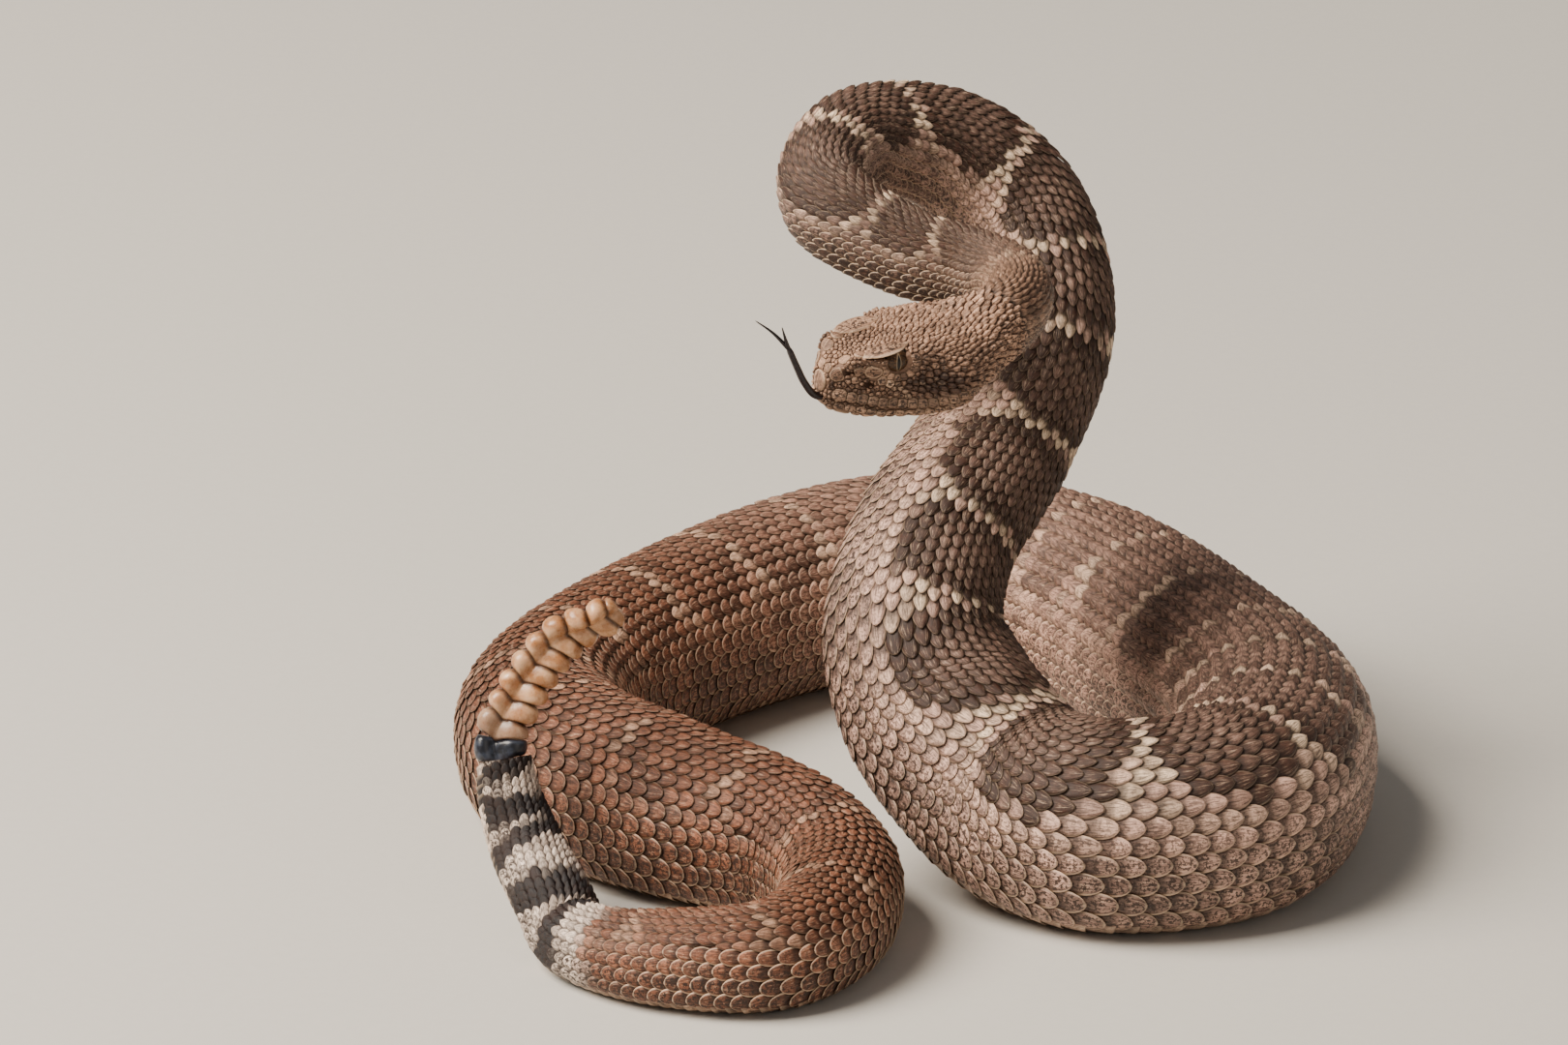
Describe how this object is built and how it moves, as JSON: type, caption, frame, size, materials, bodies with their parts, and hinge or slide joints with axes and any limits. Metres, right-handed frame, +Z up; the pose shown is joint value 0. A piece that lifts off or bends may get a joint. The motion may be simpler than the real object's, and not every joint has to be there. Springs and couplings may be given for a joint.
{
  "type": "western diamondback rattlesnake model",
  "caption": "Life-size still model of a coiled western diamondback rattlesnake in its striking stance, head and rattle raised.",
  "frame": {"origin": "on the ground, under the middle of the animal's box seen from above", "axes": "+Z up; the picture looks along +Y and 20 degrees down, so +X is to its right, and the coil is longest along Y"},
  "size_m": [0.2214, 0.2587, 0.1728],
  "materials": {
    "body_skin": "keeled scales, satin",
    "tail_skin": "small keeled scales, pale with black rings",
    "head_skin": "granular scales above, smooth lip plates",
    "rattle_horn": "polished horn",
    "black_horn": "polished horn, blue-black",
    "eye": "wet gloss, upright pupil",
    "tongue": "moist, matt black"
  },
  "bodies": {
    "root": {"tail": "tail_skin", "hind_turn": "body_skin", "hind_body": "body_skin", "left_turn": "body_skin", "rear_left_body": "body_skin", "rear_right_body": "body_skin", "right_turn": "body_skin", "front_body": "body_skin", "rising_body": "body_skin", "raised_body": "body_skin", "arch": "body_skin", "neck_loop": "body_skin", "neck": "body_skin", "rattle_base": "black_horn", "rattle": "rattle_horn", "head": "head_skin", "lower_jaw": "head_skin", "eye_left": "eye", "eye_right": "eye", "tongue": "tongue"}
  },
  "joints": []
}
